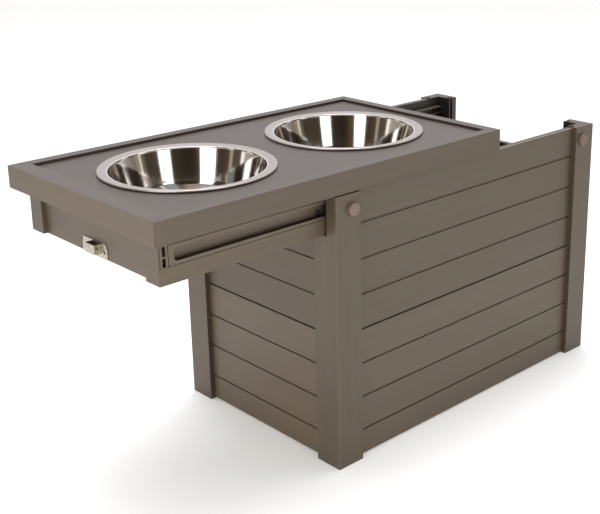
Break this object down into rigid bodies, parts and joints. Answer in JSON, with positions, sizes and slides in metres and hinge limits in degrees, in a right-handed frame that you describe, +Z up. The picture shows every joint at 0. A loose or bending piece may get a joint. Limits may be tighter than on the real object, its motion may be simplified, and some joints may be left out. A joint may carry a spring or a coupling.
{
  "type": "elevated dog feeder",
  "caption": "Raised dog feeder: a panelled storage box under a top that slides out on telescopic runners and carries two lift-out steel bowls.",
  "frame": {"origin": "centre of the whole feeder's outline at floor level, with the top pulled out as stored", "axes": "+X along the feeder, from the end that the top slides out of to the other end; +Y across it; +Z up"},
  "size_m": [0.768, 0.321, 0.389],
  "materials": {
    "taupe_boards": "taupe grey-brown stained boards, matt, fine grain along each board",
    "taupe_top": "greyer taupe, matt, fine grain along the panel",
    "stainless": "stainless steel, satin flange and polished inside",
    "zinc_steel": "zinc-plated rolled steel",
    "plain_steel": "bright steel",
    "nickel": "satin nickel plate",
    "bronze_caps": "pinkish bronze paint, satin",
    "black_plastic": "black moulded plastic"
  },
  "bodies": {
    "storage_box": {"post_front_near": "taupe_boards", "post_front_far": "taupe_boards", "post_rear_near": "taupe_boards", "post_rear_far": "taupe_boards", "side_lower_near": "taupe_boards", "side_upper_near": "taupe_boards", "side_lower_far": "taupe_boards", "side_upper_far": "taupe_boards", "end_lower_front": "taupe_boards", "end_upper_front": "taupe_boards", "end_lower_rear": "taupe_boards", "end_upper_rear": "taupe_boards", "storage_floor": "taupe_boards", "panel_screws": "plain_steel", "slide_rail_near": "zinc_steel", "slide_rail_far": "zinc_steel", "slide_bolts": "plain_steel", "cap_nuts": "bronze_caps", "latch_case": "nickel", "case_screws": "nickel"},
    "sliding_top": {"moulding_front": "taupe_boards", "moulding_rear": "taupe_boards", "moulding_near": "taupe_boards", "moulding_far": "taupe_boards", "top_panel": "taupe_top", "side_board_near": "taupe_boards", "side_board_far": "taupe_boards", "stub_near": "taupe_boards", "stub_far": "taupe_boards", "front_apron": "taupe_boards", "rear_apron": "taupe_boards", "slide_channel_near": "zinc_steel", "slide_channel_far": "zinc_steel", "channel_screws": "plain_steel", "latch_keeper": "nickel", "keeper_screws": "nickel"},
    "runner_near": {"slide_runner_near": "zinc_steel", "runner_bumper_near": "black_plastic", "slide_balls_near": "plain_steel"},
    "runner_far": {"slide_runner_far": "zinc_steel", "runner_bumper_far": "black_plastic", "slide_balls_far": "plain_steel"},
    "front_bowl": {"bowl_front": "stainless"},
    "rear_bowl": {"bowl_rear": "stainless"},
    "latch_bolt_body": {"latch_bolt": "nickel", "latch_button": "nickel"}
  },
  "joints": [
    {"name": "top_slide", "type": "slide", "parent": "storage_box", "child": "sliding_top", "axis": [1, 0, 0], "range_m": [-0.117, 0.233]},
    {"name": "runner_near_slide", "type": "slide", "parent": "storage_box", "child": "runner_near", "axis": [1, 0, 0], "range_m": [-0.0585, 0.1165]},
    {"name": "runner_far_slide", "type": "slide", "parent": "storage_box", "child": "runner_far", "axis": [1, 0, 0], "range_m": [-0.0585, 0.1165]},
    {"name": "front_bowl_lift", "type": "slide", "parent": "sliding_top", "child": "front_bowl", "axis": [0, 0, 1], "range_m": [0, 0.12]},
    {"name": "rear_bowl_lift", "type": "slide", "parent": "sliding_top", "child": "rear_bowl", "axis": [0, 0, 1], "range_m": [0, 0.12]},
    {"name": "latch_bolt_slide", "type": "slide", "parent": "storage_box", "child": "latch_bolt_body", "axis": [0, 0, 1], "range_m": [0, 0.01]}
  ],
  "couplings": [
    {"joint": "runner_near_slide", "follows": "top_slide", "ratio": 0.5},
    {"joint": "runner_far_slide", "follows": "top_slide", "ratio": 0.5}
  ]
}
